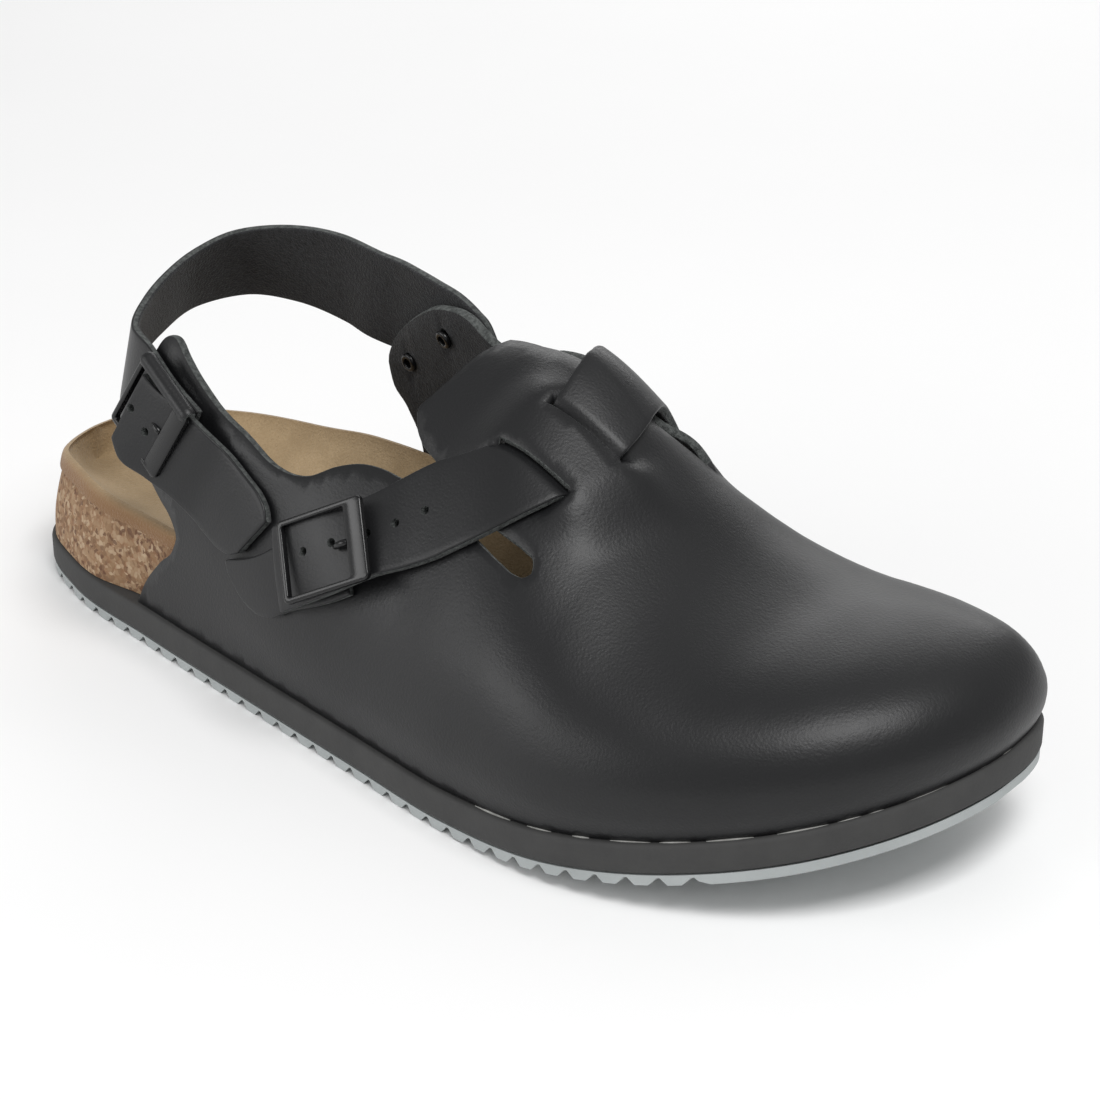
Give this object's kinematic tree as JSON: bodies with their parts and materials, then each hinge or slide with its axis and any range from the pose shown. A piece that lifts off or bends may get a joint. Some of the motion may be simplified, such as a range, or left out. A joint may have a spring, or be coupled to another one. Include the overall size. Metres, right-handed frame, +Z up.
{
  "type": "clog shoe",
  "caption": "Closed-toe work clog for the right foot, on a cork footbed and flat rubber sole, with a buckled strap woven over the instep and a buckled strap behind the heel",
  "frame": {"origin": "middle of the bounding box of the whole shoe at floor level", "axes": "+X to the toe, +Y to the inner side of the right foot, +Z up; the sole stands on z = 0"},
  "size_m": [0.279, 0.105, 0.0937],
  "materials": {
    "tread_rubber": "matt grey",
    "sole_foam": "matt charcoal",
    "cork": "speckled cork",
    "suede": "tan nap",
    "black_leather": "satin, waxed",
    "dark_metal": "black enamel"
  },
  "bodies": {
    "root": {"outsole": "tread_rubber", "midsole": "sole_foam", "footbed": "cork", "footbed_lining": "suede", "upper": "black_leather", "instep_strap": "black_leather", "buckle_patch": "black_leather", "heel_strap_tongue": "black_leather", "heel_strap": "black_leather", "instep_buckle_frame": "dark_metal", "instep_buckle_prong": "dark_metal", "heel_buckle_frame": "dark_metal", "heel_buckle_prong": "dark_metal", "rivet_low": "dark_metal", "rivet_high": "dark_metal"}
  },
  "joints": []
}
